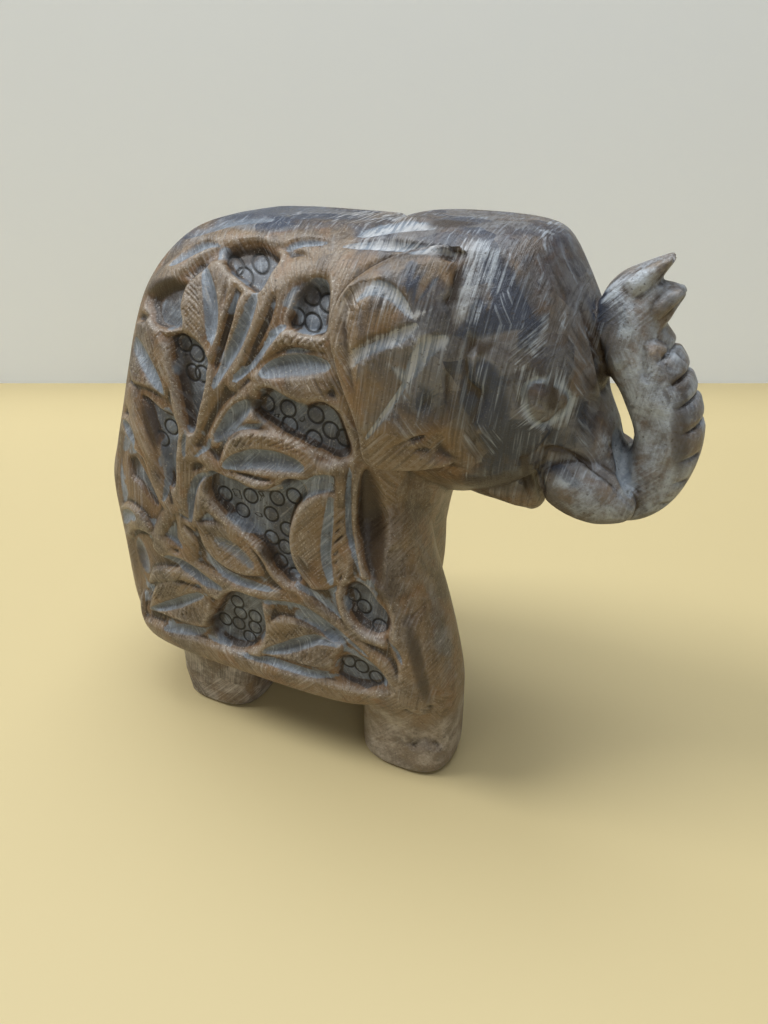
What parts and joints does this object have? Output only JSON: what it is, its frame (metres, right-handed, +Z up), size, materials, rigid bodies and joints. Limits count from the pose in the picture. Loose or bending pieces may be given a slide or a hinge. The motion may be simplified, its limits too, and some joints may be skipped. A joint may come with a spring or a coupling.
{
  "type": "carved stone elephant figure",
  "caption": "Small standing elephant carved from one block of soapstone, with leaf and ring relief on its sides and a raised trunk.",
  "frame": {"origin": "on the ground, under the middle of the bounding box", "axes": "+X the way the elephant looks, +Y its left side, +Z up"},
  "size_m": [0.082, 0.0372, 0.0763],
  "materials": {
    "soapstone": "hand-rubbed, waxed satin, ochre-brown on the raised carving and blue-grey where it is freshly cut"
  },
  "bodies": {
    "root": {"elephant_carving": "soapstone"}
  },
  "joints": []
}
